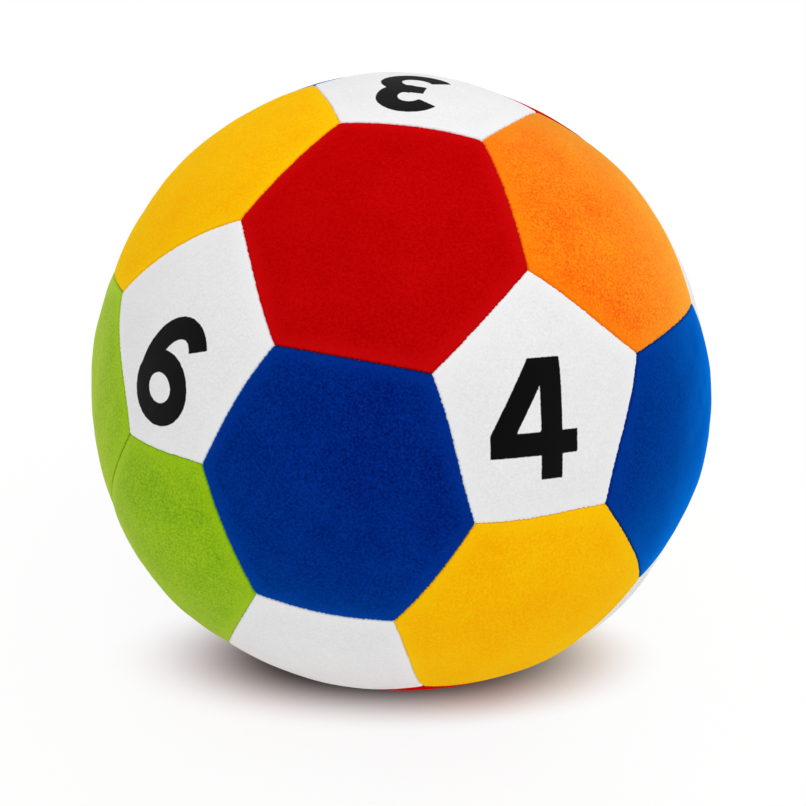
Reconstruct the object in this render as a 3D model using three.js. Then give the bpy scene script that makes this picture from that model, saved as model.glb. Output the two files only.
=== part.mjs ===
// A stuffed plush ball, sewn from 12 white pentagons and 20 coloured hexagons.
// Millimetres, +Z up, origin under the middle of the flat on which the ball stands.
// +Z runs through the top pentagon, and a lower white pentagon faces the front, -Y.
import * as THREE from "three";

// Driving dimensions
const BALL_DIAMETER = 200; // across the crowns of two opposite panels
const CLOTH = 2; // thickness of the plush: its short pile and the knitted backing
const SEAM_SINK = 2; // depth of a seam below the crowns of its panels
const SHOULDER = 5; // width over which a panel rolls down to its seam
const SEAM_ALLOWANCE = 6; // edge that each panel turns in past the seam, towards the filling
const LIE_GAP = 0.3; // left between two pieces that touch
const FOOT_DEPTH = 0.5; // height of the flat that the standing ball presses into its lowest panel
const STEPS_PER_SIDE = 3; // facets along one side of a panel
const FOLD_STEPS = 2; // facets across the roll from shoulder to seam

const BALL_RADIUS = BALL_DIAMETER / 2;
const SEAM_RADIUS = BALL_RADIUS - SEAM_SINK;
const ALLOWANCE_RADIUS = SEAM_RADIUS - SEAM_ALLOWANCE;
const CENTRE_HEIGHT = BALL_RADIUS - FOOT_DEPTH;
const WELD_REACH = LIE_GAP / 100; // corners closer than this are one corner
const ROW_COUNT = 5; // panels in each row round the ball

// Every panel has sides of one length. In side lengths, a truncated icosahedron reaches this far
// from its centre to a corner.
const CORNER_REACH = Math.sqrt(58 + 18 * Math.sqrt(5)) / 4;

const PLUSH = { roughness: 0.95, metalness: 0 };
const COLOURS = {
  white: 0xe9e9ec,
  red: 0xc4060c,
  blue: 0x0b3f92,
  yellow: 0xf5b30b,
  orange: 0xff7e12,
  green: 0x8fb02c,
};
const FILLING_COLOUR = 0xf4f1ea;

// Colours of the hexagons, row by row from the top down. Each row starts at the front or at the
// first panel to its right, and goes round to the right as the front is seen.
const HEXAGON_ROWS = {
  crown: ["red", "orange", "red", "blue", "yellow"],
  upper_belt: ["blue", "blue", "green", "yellow", "green"],
  lower_belt: ["yellow", "orange", "red", "orange", "green"],
  base: ["red", "green", "yellow", "blue", "orange"],
};

// The flat outline of a panel, drawn on a plane one unit from the ball's centre, where the planes
// of the seams cut straight sides. Side 0 has its middle on +X.
function outlineOf(sides) {
  const halfSector = Math.PI / sides;
  const cornerInSides = 1 / (2 * Math.sin(halfSector));
  const planeInSides = Math.sqrt(CORNER_REACH ** 2 - cornerInSides ** 2);
  const cornerSlope = cornerInSides / planeInSides;
  const sideSlope = cornerSlope * Math.cos(halfSector);
  const cornerAt = (i) =>
    new THREE.Vector2(cornerSlope, 0).rotateAround(new THREE.Vector2(), (2 * i - 1) * halfSector);
  return { sides, halfSector, sideSlope, cornerAt, seamAngle: Math.atan(sideSlope) };
}

const PENTAGON = outlineOf(5);
const HEXAGON = outlineOf(6);

// Distance of the ball's face from its centre, at an inset from a seam: level past the shoulder,
// then a quarter of an ellipse that rolls down into the seam.
function faceRadius(inset) {
  const roll = Math.max(0, (SHOULDER - inset) / (SHOULDER - LIE_GAP / 2));
  return BALL_RADIUS - SEAM_SINK * (1 - Math.sqrt(1 - roll ** 2));
}

// A point of a panel's section: its angle from the panel's axis, and its distance from the centre.
const sectionPoint = (angle, radius) =>
  new THREE.Vector2(radius * Math.sin(angle), radius * Math.cos(angle));

// The angle from a panel's axis at which a point lies an inset in from the seam.
const angleAtInset = (outline, inset, radius) => outline.seamAngle - Math.asin(inset / radius);

const insetPoint = (outline, inset, radius) =>
  sectionPoint(angleAtInset(outline, inset, radius), radius);

// The pressed flat of the lowest panel, as an angle from its axis.
const FOOT_RADIUS = Math.sqrt(BALL_RADIUS ** 2 - CENTRE_HEIGHT ** 2);
const FOOT_ANGLE = Math.asin(FOOT_RADIUS / BALL_RADIUS);

// One panel's section from the middle of its inner face, round its turned-in edge, to the middle
// of its outer face.
function panelSection(outline, hasFoot) {
  const outerInset = LIE_GAP / 2;
  const innerInset = outerInset + CLOTH;
  const liningRadius = BALL_RADIUS - CLOTH;
  const cornerRadius = faceRadius(innerInset) - CLOTH;
  const section = [
    sectionPoint(0, liningRadius),
    sectionPoint(angleAtInset(outline, innerInset, cornerRadius) / 2, liningRadius),
    insetPoint(outline, innerInset, cornerRadius),
    insetPoint(outline, innerInset, ALLOWANCE_RADIUS),
    insetPoint(outline, outerInset, ALLOWANCE_RADIUS),
  ];
  for (let i = 0; i <= FOLD_STEPS; i++) {
    const turn = ((Math.PI / 2) * i) / FOLD_STEPS;
    const inset = SHOULDER - (SHOULDER - outerInset) * Math.cos(turn);
    section.push(insetPoint(outline, inset, faceRadius(inset)));
  }
  const crownStart = hasFoot ? FOOT_ANGLE : 0;
  const shoulderAngle = angleAtInset(outline, SHOULDER, BALL_RADIUS);
  section.push(sectionPoint((crownStart + shoulderAngle) / 2, BALL_RADIUS));
  if (hasFoot) section.push(sectionPoint(FOOT_ANGLE, BALL_RADIUS));
  section.push(new THREE.Vector2(0, hasFoot ? CENTRE_HEIGHT : BALL_RADIUS));
  return section;
}

// The filling's section under one panel, from the floor of the groove that takes the turned-in
// edges, up over its lip, to the middle of the lobe that fills the panel.
function lobeSection(outline) {
  const lipInset = LIE_GAP / 2 + CLOTH + LIE_GAP;
  const floorRadius = ALLOWANCE_RADIUS - LIE_GAP;
  const lipRadius = faceRadius(lipInset) - CLOTH - LIE_GAP;
  const lobeRadius = BALL_RADIUS - CLOTH - LIE_GAP;
  return [
    insetPoint(outline, 0, floorRadius),
    insetPoint(outline, lipInset, floorRadius),
    insetPoint(outline, lipInset, lipRadius),
    sectionPoint(angleAtInset(outline, lipInset, lipRadius) / 2, lobeRadius),
    sectionPoint(0, lobeRadius),
  ];
}

// Joins sheets into one geometry, in which corners closer than the weld's reach are shared.
function weld(...sheets) {
  const corners = [];
  const index = sheets.flatMap((sheet) => {
    const position = sheet.getAttribute("position");
    const places = Array.from({ length: position.count }, (_, i) => {
      const corner = new THREE.Vector3().fromBufferAttribute(position, i);
      const known = corners.findIndex((other) => other.distanceTo(corner) < WELD_REACH);
      return known < 0 ? corners.push(corner) - 1 : known;
    });
    return Array.from(sheet.index.array, (i) => places[i]);
  });
  return new THREE.BufferGeometry().setFromPoints(corners).setIndex(index);
}

// Turns a section about its panel's axis, which ends up on +Z, and gives each ring the panel's
// outline: round as far as a foot reaches, and straight-sided with its corners at the seams.
function turnToOutline(section, outline) {
  const turned = new THREE.LatheGeometry(section, outline.sides * STEPS_PER_SIDE, outline.halfSector);
  turned.applyMatrix4(new THREE.Matrix4().makeBasis(
    new THREE.Vector3(0, 1, 0),
    new THREE.Vector3(0, 0, 1),
    new THREE.Vector3(1, 0, 0),
  ));
  const points = turned.getAttribute("position");
  const roundShare = Math.tan(FOOT_ANGLE) / outline.sideSlope;
  for (let i = 0; i < points.count; i++) {
    const point = new THREE.Vector3().fromBufferAttribute(points, i);
    const share = Math.hypot(point.x, point.y) / point.z / outline.sideSlope;
    const sectors = Math.atan2(point.y, point.x) / (2 * outline.halfSector) + 0.5;
    const side = Math.floor(sectors);
    const onCircle = new THREE.Vector2(point.x, point.y).setLength(outline.sideSlope);
    const onSide = outline.cornerAt(side).lerp(outline.cornerAt(side + 1), sectors - side);
    const straightness = THREE.MathUtils.smoothstep(share, roundShare, 1);
    const spot = onCircle.lerp(onSide, straightness).multiplyScalar(share);
    const moved = new THREE.Vector3(spot.x, spot.y, 1).setLength(point.length());
    points.setXYZ(i, moved.x, moved.y, moved.z);
  }
  return weld(turned);
}

// A turn that takes +Z to a panel's middle, and +X towards the neighbour across its side 0.
function facing(middle, neighbour) {
  const across = new THREE.Vector3().crossVectors(middle, neighbour).normalize();
  const along = new THREE.Vector3().crossVectors(across, middle);
  return new THREE.Matrix4().makeBasis(along, across, middle);
}

// Directions of the middles of the 12 pentagons: the corners of an icosahedron.
const RING_LIFT = Math.asin(1 / Math.sqrt(5)); // of the upper ring above the ball's centre
const ROW_STEP = (2 * Math.PI) / ROW_COUNT;
const FRONT = -Math.PI / 2;

function ringOf(start, lift) {
  return Array.from({ length: ROW_COUNT }, (_, i) => {
    const turn = start + i * ROW_STEP;
    return new THREE.Vector3(
      Math.cos(lift) * Math.cos(turn),
      Math.cos(lift) * Math.sin(turn),
      Math.sin(lift),
    );
  });
}

const TOP = new THREE.Vector3(0, 0, 1);
const BOTTOM = new THREE.Vector3(0, 0, -1);
const UPPER = ringOf(FRONT - ROW_STEP / 2, RING_LIFT);
const LOWER = ringOf(FRONT, -RING_LIFT);

const middleOf = (...corners) =>
  corners.reduce((sum, corner) => sum.add(corner), new THREE.Vector3()).normalize();

// The three pentagons round each hexagon, in the order of the rows of colours.
const HEXAGON_TRIOS = {
  crown: UPPER.map((pentagon, i) => [TOP, pentagon, UPPER[(i + 1) % ROW_COUNT]]),
  upper_belt: UPPER.map((pentagon, i) => [LOWER[i], pentagon, UPPER[(i + 1) % ROW_COUNT]]),
  lower_belt: LOWER.map((pentagon, i) => [UPPER[(i + 1) % ROW_COUNT], pentagon, LOWER[(i + 1) % ROW_COUNT]]),
  base: LOWER.map((pentagon, i) => [BOTTOM, pentagon, LOWER[(i + 1) % ROW_COUNT]]),
};

// Every panel's name, colour, outline and place.
function panelPlan() {
  const pentagon = (name, middle, neighbours) => ({
    name: `white_pentagon_${name}`,
    colour: "white",
    outline: PENTAGON,
    hasFoot: middle === BOTTOM,
    placing: facing(middle, middleOf(middle, ...neighbours)),
  });
  const plan = [
    pentagon("top", TOP, [UPPER[0], UPPER[1]]),
    ...UPPER.map((middle, i) => pentagon(`upper_${i + 1}`, middle, [TOP, UPPER[(i + 1) % ROW_COUNT]])),
    ...LOWER.map((middle, i) => pentagon(`lower_${i + 1}`, middle, [BOTTOM, LOWER[(i + 1) % ROW_COUNT]])),
    pentagon("bottom", BOTTOM, [LOWER[0], LOWER[1]]),
  ];
  for (const [row, trios] of Object.entries(HEXAGON_TRIOS)) {
    trios.forEach((trio, i) => {
      const colour = HEXAGON_ROWS[row][i];
      plan.push({
        name: `${colour}_hexagon_${row}_${i + 1}`,
        colour,
        outline: HEXAGON,
        hasFoot: false,
        placing: facing(middleOf(...trio), trio[0]),
      });
    });
  }
  return plan;
}

// One sewn panel: a domed sheet of plush with its edges turned in.
function makePanel({ name, colour, outline, hasFoot, placing }) {
  const material = new THREE.MeshStandardMaterial({ color: COLOURS[colour], ...PLUSH });
  const panel = new THREE.Mesh(turnToOutline(panelSection(outline, hasFoot), outline), material);
  panel.name = name;
  panel.quaternion.setFromRotationMatrix(placing);
  return panel;
}

// The filling: a lobe under every panel, joined along the floors of the grooves between them.
function makeFilling(plan) {
  const lobes = plan.map(({ outline, placing }) =>
    turnToOutline(lobeSection(outline), outline).applyMatrix4(placing));
  const filling = new THREE.Mesh(
    weld(...lobes),
    new THREE.MeshStandardMaterial({ color: FILLING_COLOUR, ...PLUSH }),
  );
  filling.name = "fibre_filling";
  return filling;
}

const ball = new THREE.Group();
ball.name = "plush_ball";
ball.position.z = CENTRE_HEIGHT;
const plan = panelPlan();
ball.add(makeFilling(plan), ...plan.map(makePanel));

export default ball;
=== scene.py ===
# Looks of a stuffed plush ball, sewn from 12 white pentagons and 20 coloured hexagons.
# Metres, +Z up, in the frame of the ball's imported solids: -Y is the front.
import math

import bmesh
import bpy
import numpy as np
from bpy.props import FloatProperty, FloatVectorProperty, IntProperty, PointerProperty
from mathutils import Matrix, Vector
from mathutils.kdtree import KDTree


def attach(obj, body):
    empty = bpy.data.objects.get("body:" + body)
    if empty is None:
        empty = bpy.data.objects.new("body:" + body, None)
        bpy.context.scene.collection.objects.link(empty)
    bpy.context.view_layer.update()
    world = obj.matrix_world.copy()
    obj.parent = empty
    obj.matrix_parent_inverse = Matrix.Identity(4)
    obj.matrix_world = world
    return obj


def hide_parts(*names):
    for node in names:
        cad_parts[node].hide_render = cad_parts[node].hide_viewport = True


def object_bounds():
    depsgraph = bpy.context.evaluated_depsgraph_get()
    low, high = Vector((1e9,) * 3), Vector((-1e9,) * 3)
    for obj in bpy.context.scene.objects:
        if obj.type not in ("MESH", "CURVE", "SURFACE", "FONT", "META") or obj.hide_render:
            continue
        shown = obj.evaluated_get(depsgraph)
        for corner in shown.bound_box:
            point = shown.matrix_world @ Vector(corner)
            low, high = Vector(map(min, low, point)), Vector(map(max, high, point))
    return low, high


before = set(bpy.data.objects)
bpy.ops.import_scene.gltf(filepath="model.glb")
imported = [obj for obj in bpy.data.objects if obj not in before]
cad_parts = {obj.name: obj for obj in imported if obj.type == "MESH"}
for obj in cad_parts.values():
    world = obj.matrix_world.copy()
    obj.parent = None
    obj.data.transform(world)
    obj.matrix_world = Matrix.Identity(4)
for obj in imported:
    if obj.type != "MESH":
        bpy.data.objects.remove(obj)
cad_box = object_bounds()

bl_info = {
    "name": "Plush Ball",
    "version": (1, 0, 0),
    "blender": (4, 5, 0),
    "location": "3D View > Sidebar > Plush Ball",
    "description": "Dresses a sewn plush ball in short-pile panels, seams and printed numbers",
    "category": "Object",
}

MM = 0.001
BALL_RADIUS = 0.1  # from the centre to the crowns of the panels
CENTRE_HEIGHT = cad_box[1].z - BALL_RADIUS
PHOTO_SIDE = 806  # pixels along a side of the picture that the camera frames

# Every panel has sides of one length. In side lengths, a truncated icosahedron reaches this far
# from its centre to a corner.
CORNER_REACH = math.sqrt(58 + 18 * math.sqrt(5)) / 4

ROW_COUNT = 5  # panels in each row round the ball
ROW_STEP = 2 * math.pi / ROW_COUNT
RING_LIFT = math.asin(1 / math.sqrt(5))  # of the upper ring of pentagons above the ball's centre
FRONT = -math.pi / 2

# How far the stuffing holds the corners of the seams from their even places, in millimetres to
# the right and up as seen from outside. A corner is named by its pentagon and the pentagon that
# it points to. The corners that aren't named stray by CORNER_STRAY at random.
CORNER_DRIFTS = {
    ("top", "upper_1"): (-2.3, 3.5),
    ("top", "upper_2"): (2.7, 4.1),
    ("top", "upper_3"): (7.0, -1.6),
    ("top", "upper_4"): (0.0, -1.0),
    ("top", "upper_5"): (-5.4, -7.9),
    ("upper_1", "top"): (-0.5, 3.0),
    ("upper_1", "upper_2"): (-1.5, 3.0),
    ("upper_1", "upper_5"): (-1.0, -9.5),
    ("upper_1", "lower_5"): (14.5, -1.8),
    ("upper_1", "lower_1"): (3.0, 2.5),
    ("upper_2", "top"): (-0.5, 1.5),
    ("upper_2", "upper_1"): (0.5, 2.5),
    ("upper_2", "upper_3"): (-3.5, -0.5),
    ("upper_2", "lower_1"): (-4.0, 0.0),
    ("upper_2", "lower_2"): (-5.9, -0.9),
    ("upper_3", "upper_2"): (1.0, -3.0),
    ("upper_3", "top"): (8.0, 2.0),
    ("upper_5", "upper_1"): (3.0, -19.0),
    ("upper_5", "lower_5"): (-2.0, -9.0),
    ("upper_5", "top"): (0.0, -6.0),
    ("upper_5", "upper_4"): (-2.0, -7.0),
    ("lower_5", "upper_1"): (14.0, -10.0),
    ("lower_1", "upper_1"): (0.2, 1.0),
    ("lower_1", "upper_2"): (-1.4, 1.1),
    ("lower_1", "lower_5"): (-6.2, -11.2),
    ("lower_1", "lower_2"): (-4.2, -7.2),
    ("lower_1", "bottom"): (0.0, -6.0),
    ("lower_2", "lower_1"): (-3.0, -3.0),
    ("lower_2", "upper_2"): (-1.0, -5.5),
    ("lower_2", "upper_3"): (3.0, -5.0),
}
CORNER_STRAY = 1.0

# The same for the middles of the seams that bend between their corners, by their two panels
SEAM_DRIFTS = {
    ("pentagon_top", "hexagon_crown_1"): (0.0, 4.3),
    ("pentagon_top", "hexagon_crown_2"): (4.6, 1.0),
    ("pentagon_top", "hexagon_crown_3"): (2.7, -6.0),
    ("pentagon_top", "hexagon_crown_4"): (-0.6, -6.5),
    ("pentagon_upper_1", "hexagon_lower_belt_5"): (8.8, -0.3),
    ("pentagon_upper_2", "hexagon_lower_belt_1"): (-5.8, -0.8),
    ("pentagon_lower_1", "hexagon_upper_belt_1"): (-0.3, 0.2),
    ("hexagon_crown_2", "hexagon_upper_belt_2"): (-1.2, -1.5),
    ("pentagon_upper_2", "hexagon_upper_belt_2"): (-4.4, 0.4),
    ("hexagon_lower_belt_1", "hexagon_upper_belt_2"): (-1.0, -6.8),
    ("hexagon_lower_belt_1", "hexagon_base_1"): (-3.8, -8.5),
}
DRIFT_REACH = 22 * MM  # how far round a place its drift is felt

# How far single panels stand out or lie in, in millimetres. The others differ by SWELL_STRAY.
PANEL_SWELLS = {
    "pentagon_top": 0.3,
    "pentagon_upper_3": -1.6,
    "pentagon_upper_5": 0.1,
    "pentagon_lower_1": -0.3,
    "pentagon_lower_2": 0.6,
    "pentagon_lower_5": -3.2,
    "pentagon_bottom": -0.4,
    "hexagon_crown_2": 1.3,
    "hexagon_crown_3": -1.7,
    "hexagon_crown_4": 1.8,
    "hexagon_crown_5": 0.25,
    "hexagon_upper_belt_2": 1.7,
    "hexagon_upper_belt_5": -0.4,
    "hexagon_lower_belt_1": 4.4,
    "hexagon_lower_belt_5": 3.3,
    "hexagon_base_1": -0.8,
    "hexagon_base_5": 0.7,
}
SWELL_STRAY = 0.25
SWELL_REACH = 26 * MM

# The printed numbers: the figure, how far its middle lies to the right of and above its panel's
# middle, in millimetres, and how far it is turned to the left, in degrees.
NUMBERS = {
    "top": ("3", -4.0, -2.0, 180.0),
    "upper_1": ("6", 3.5, -7.0, -9.0),
    "upper_2": ("4", -6.5, -2.5, -4.0),
    "upper_3": ("5", 1.0, -1.0, 5.0),
    "upper_4": ("1", 0.0, 1.0, -3.0),
    "upper_5": ("2", -1.0, -7.0, 4.0),
}


def metres(name, description, default):
    return FloatProperty(
        name=name,
        description=description,
        default=default,
        min=0,
        precision=5,
        unit="LENGTH",
        subtype="DISTANCE",
    )


def lengths(name, description, default):
    return FloatVectorProperty(
        name=name, description=description, default=default, size=3, unit="LENGTH", subtype="TRANSLATION"
    )


def degrees(name, description, default):
    turn = math.radians(default)
    return FloatProperty(
        name=name, description=description, default=turn, unit="ROTATION", subtype="ANGLE"
    )


def pixels(name, description, default):
    return FloatProperty(name=name, description=description, default=default, subtype="PIXEL")


def strength(name, description, default):
    return FloatProperty(name=name, description=description, default=default, min=0)


def number_of(name, description, default, least):
    return IntProperty(name=name, description=description, default=default, min=least)


def colour(name, description, default):
    return FloatVectorProperty(
        name=name, description=description, default=default, min=0, max=1, size=3, subtype="COLOR"
    )


class BallSizes(bpy.types.PropertyGroup):
    """Real sizes of the ball, its cloth and its sewing"""

    ball_radius: metres("Ball radius", "From the centre to the crowns of the panels", BALL_RADIUS)
    cloth: metres("Cloth", "Thickness of the plush, pile and backing together", 0.002)
    seam_sink: metres("Seam sink", "Depth of the sewn seam line below the crowns of its panels", 0.002)
    pillow: metres("Pillow", "How far a stuffed panel sinks from its crown to its fold", 0.0006)
    shoulder: metres("Shoulder", "Width over which a panel bends down towards its seam", 0.006)
    lip: metres("Lip", "Width of the tight fold right at the seam", 0.0008)
    lip_drop: metres("Lip drop", "Depth that the pile leaves open in the fold", 0.00045)
    seam_gap: metres("Seam gap", "Space left between the piles that meet over a seam", 0.00004)
    allowance: metres("Seam allowance", "Edge that is turned in past the seam", 0.006)
    lie_gap: metres("Lie gap", "Space left between the filling and the cloth", 0.0003)
    stitches: number_of("Stitches", "Stitches along one side of a panel", 30, 4)
    stitch_pull: metres("Stitch pull", "How deep a stitch draws the folded edge in", 0.0001)
    stitch_wander: metres("Stitch wander", "How far the seam line swings from stitch to stitch", 0.00006)
    tuft_wander: metres("Tuft wander", "How far tufts of pile lean over the seam line", 0.00015)
    stitch_length: metres("Stitch length", "Length of the thread that crosses a seam", 0.0012)
    thread: metres("Thread", "Thickness of the sewing thread", 0.0003)
    lumps: metres("Lumps", "Unevenness of the stuffing under the cloth", 0.00025)
    number_height: metres("Number height", "Height of a printed figure", 0.032)
    rows: number_of("Rows", "Rows of mesh from a panel's middle to its side", 88, 16)


class BallColours(bpy.types.PropertyGroup):
    """Colours of the plush, the print, the thread and the filling"""

    white: colour("White", "Plush of the pentagons", (0.82, 0.82, 0.83))
    red: colour("Red", "Plush of the red hexagons", (0.48, 0.0005, 0.0007))
    blue: colour("Blue", "Plush of the blue hexagons", (0.0001, 0.0072, 0.162))
    yellow: colour("Yellow", "Plush of the yellow hexagons", (0.97, 0.46, 0.0003))
    orange: colour("Orange", "Plush of the orange hexagons", (0.97, 0.125, 0.0001))
    green: colour("Green", "Plush of the green hexagons", (0.212, 0.44, 0.0006))
    ink: colour("Ink", "The printed numbers", (0.003, 0.003, 0.0032))
    thread: colour("Thread", "The sewing thread", (0.45, 0.45, 0.45))
    filling: colour("Filling", "The polyester fibre", (0.88, 0.87, 0.84))


class BallStage(bpy.types.PropertyGroup):
    """The floor, the light and the camera"""

    azimuth: degrees("Azimuth", "Direction of the camera, to the right of the front", 8.69)
    elevation: degrees("Elevation", "Height of the camera over the ball's middle", 30.55)
    lean: degrees("Lean", "How far the camera is turned to the left", 5.15)
    distance: metres("Distance", "From the ball's centre to the camera", 0.4)
    ball_reach: pixels("Ball reach", "Radius of the ball in the picture", 309.5)
    ball_x: pixels("Ball x", "Middle of the ball in the picture, from its left side", 400.3)
    ball_y: pixels("Ball y", "Middle of the ball in the picture, from its top", 384.8)
    sky: strength("Sky", "Light from all round", 0.34)
    overhead: strength("Overhead", "Light from a broad lamp above", 0.71)
    fill: strength("Fill", "Light from a low lamp at the front", 0.18)
    floor: colour("Floor", "The floor", (0.95, 0.95, 0.95))
    # The dark oval is a painted shadow: the floor's colour is laid darker round the ball's foot, and the
    # real cast shadow falls on it too.
    foot: lengths("Foot", "Middle of the dark oval by the ball's foot", (0.0092, -0.0215, 0))
    foot_reach: lengths("Foot reach", "Half the length and width of that oval", (0.0774, 0.0283, 1))
    foot_turn: degrees("Foot turn", "How far that oval is turned to the left", 16.65)
    painted_shadow_colour: colour("Foot floor", "The floor in the middle of that oval", (0.13, 0.175, 0.19))
    # A painted bounce light: the plush's colour laid on the floor at the right of that oval
    painted_bounce_colour: colour("Foot glow", "What the plush throws on the right of that oval", (0.80, 0.43, 0.30))


# Shapes of the panels

NEARLY_ONE = 0.999  # two unit vectors whose product is above this point the same way


class Outline:
    """The outline of a panel on a plane one unit from the ball's centre, with side 0's middle on +X."""

    def __init__(self, sides):
        self.sides = sides
        half_sector = math.pi / sides
        corner_in_sides = 1 / (2 * math.sin(half_sector))
        plane_in_sides = math.sqrt(CORNER_REACH**2 - corner_in_sides**2)
        self.corner_slope = corner_in_sides / plane_in_sides
        self.side_slope = self.corner_slope * math.cos(half_sector)
        tilt = math.atan(self.side_slope)
        turns = np.arange(sides) * 2 * half_sector
        flat = np.stack([np.cos(turns), np.sin(turns), np.zeros(sides)], axis=1)
        up = np.array([0.0, 0.0, 1.0])
        self.normals = flat * math.cos(tilt) - up * math.sin(tilt)
        self.middles = flat * math.sin(tilt) + up * math.cos(tilt)
        self.tangents = np.stack([-np.sin(turns), np.cos(turns), np.zeros(sides)], axis=1)


PENTAGON = Outline(5)
HEXAGON = Outline(6)


def unit(vectors):
    return vectors / np.linalg.norm(vectors, axis=-1, keepdims=True)


def ring_of(start, lift):
    turns = [start + i * ROW_STEP for i in range(ROW_COUNT)]
    return [
        np.array([math.cos(lift) * math.cos(turn), math.cos(lift) * math.sin(turn), math.sin(lift)])
        for turn in turns
    ]


def pentagon_middles():
    """The direction of each pentagon's middle, by its place: the corners of an icosahedron."""
    middles = {"top": np.array([0.0, 0.0, 1.0]), "bottom": np.array([0.0, 0.0, -1.0])}
    rings = {"upper": ring_of(FRONT - ROW_STEP / 2, RING_LIFT), "lower": ring_of(FRONT, -RING_LIFT)}
    for name, ring in rings.items():
        for i, middle in enumerate(ring):
            middles[f"{name}_{i + 1}"] = middle
    return middles


PENTAGONS = pentagon_middles()


def hexagon_middles():
    """The direction of each hexagon's middle, by its place, and the pentagon that its side 0 meets."""
    found = {}
    for i in range(ROW_COUNT):
        here, there = i + 1, (i + 1) % ROW_COUNT + 1
        trios = {
            "crown": ("top", f"upper_{here}", f"upper_{there}"),
            "upper_belt": (f"lower_{here}", f"upper_{here}", f"upper_{there}"),
            "lower_belt": (f"upper_{there}", f"lower_{here}", f"lower_{there}"),
            "base": ("bottom", f"lower_{here}", f"lower_{there}"),
        }
        for row, trio in trios.items():
            found[f"{row}_{here}"] = (unit(sum(PENTAGONS[name] for name in trio)), PENTAGONS[trio[0]])
    return found


HEXAGONS = hexagon_middles()


def panel_middles():
    """The direction of every panel's middle, by its outline and place."""
    ways = {f"pentagon_{place}": middle for place, middle in PENTAGONS.items()}
    ways.update({f"hexagon_{place}": middle for place, (middle, _) in HEXAGONS.items()})
    return ways


def facing(middle, neighbour):
    """Rows that turn a panel's own frame: +Z to its middle, and +X to the neighbour across its side 0."""
    across = unit(np.cross(middle, neighbour))
    return np.stack([np.cross(across, middle), across, middle])


def panel_plan():
    """(node name, colour, place, outline, placing) of every panel, from the names of the frame's nodes."""
    plan = []
    for node_name in sorted(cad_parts):
        hue, _, place = node_name.partition("_pentagon_")
        if place:
            middle = PENTAGONS[place]
            nearest = min((other for other, _ in HEXAGONS.values()), key=lambda way: -way @ middle)
            plan.append((node_name, hue, place, PENTAGON, facing(middle, nearest)))
            continue
        hue, _, place = node_name.partition("_hexagon_")
        if place:
            middle, neighbour = HEXAGONS[place]
            plan.append((node_name, hue, place, HEXAGON, facing(middle, neighbour)))
    return plan


def right_and_up(middle):
    """The ways right and up at a place on the ball, seen from outside. On its axis, right is +X."""
    pole = np.array([0.0, 0.0, 1.0]) if abs(middle[2]) < NEARLY_ONE else np.array([0.0, middle[2], 0.0])
    right = unit(np.cross(pole, middle))
    return right, np.cross(middle, right)


def bumps(points, places, reach):
    """How much of a smooth bump round each place on the unit sphere is felt at each point on it."""
    return np.exp((points @ places.T - 1) / reach**2)


class Unevenness:
    """How the stuffing pulls the ball out of its even form."""

    def __init__(self, radius):
        rng = np.random.default_rng(7)
        held = []
        for name, middle in PENTAGONS.items():
            for other, neighbour in PENTAGONS.items():
                if 0 < middle @ neighbour < NEARLY_ONE:
                    stray = rng.normal(0, CORNER_STRAY, 2)
                    held.append((unit(2 * middle + neighbour), CORNER_DRIFTS.get((name, other), stray)))
        ways = panel_middles()
        held += [(unit(ways[one] + ways[other]), drift) for (one, other), drift in SEAM_DRIFTS.items()]
        drifts = [np.array(drift) @ np.stack(right_and_up(place)) * MM / radius for place, drift in held]
        self.places, self.middles = np.array([place for place, _ in held]), np.array(list(ways.values()))
        strays = rng.normal(0, SWELL_STRAY, len(self.middles))
        swells = [PANEL_SWELLS.get(name, stray) * MM for name, stray in zip(ways, strays)]
        self.drift_reach, self.swell_reach = DRIFT_REACH / radius, SWELL_REACH / radius
        self.drifts = np.linalg.solve(bumps(self.places, self.places, self.drift_reach), np.array(drifts))
        self.swells = np.linalg.solve(bumps(self.middles, self.middles, self.swell_reach), np.array(swells))

    def drift(self, ways):
        return unit(ways + bumps(ways, self.places, self.drift_reach) @ self.drifts)

    def swell(self, ways):
        return bumps(ways, self.middles, self.swell_reach) @ self.swells


def ripples(points, wavelength, seed, count=40):
    """A soft random relief of about -1 to 1: waves that run every way through the points."""
    rng = np.random.default_rng(seed)
    ways = unit(rng.normal(size=(count, 3)))
    pitches = wavelength * rng.uniform(0.7, 1.4, count)
    phases = rng.uniform(0, 2 * math.pi, count)
    steps = points @ (ways * (2 * math.pi / pitches)[:, None]).T + phases
    return np.cos(steps).sum(axis=1) / math.sqrt(2 * count)


# Mesh tools

WELD = 0.05 * MM  # points nearer to each other than this become one


def mesh_of(bm, name):
    """The mesh of a finished bmesh, which is freed."""
    mesh = bpy.data.meshes.new(name)
    bm.to_mesh(mesh)
    bm.free()
    return mesh


def weld(meshes):
    """One bmesh of all the meshes, joined where they meet. The meshes are removed."""
    joined = bmesh.new()
    for mesh in meshes:
        joined.from_mesh(mesh)
        bpy.data.meshes.remove(mesh)
    bmesh.ops.remove_doubles(joined, verts=joined.verts[:], dist=WELD)
    return joined


def rim_of(bm):
    return [edge for edge in bm.edges if edge.is_boundary]


def rim_corners(bm):
    return [vert for vert in bm.verts if vert.is_boundary]


def turn_rim_in(bm, reach, inset=0.0):
    """Extrudes the open rim to a reach from the centre, and by a share of its width towards the axis."""
    made = bmesh.ops.extrude_edge_only(bm, edges=rim_of(bm))["geom"]
    for vert in made:
        if isinstance(vert, bmesh.types.BMVert):
            x, y, z = vert.co
            flat = Vector((x / z, y / z, 0))
            flat.length = max(flat.length * (1 - inset), 1e-6)
            vert.co = flat + Vector((0, 0, 1))
            vert.co.length = reach


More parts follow.
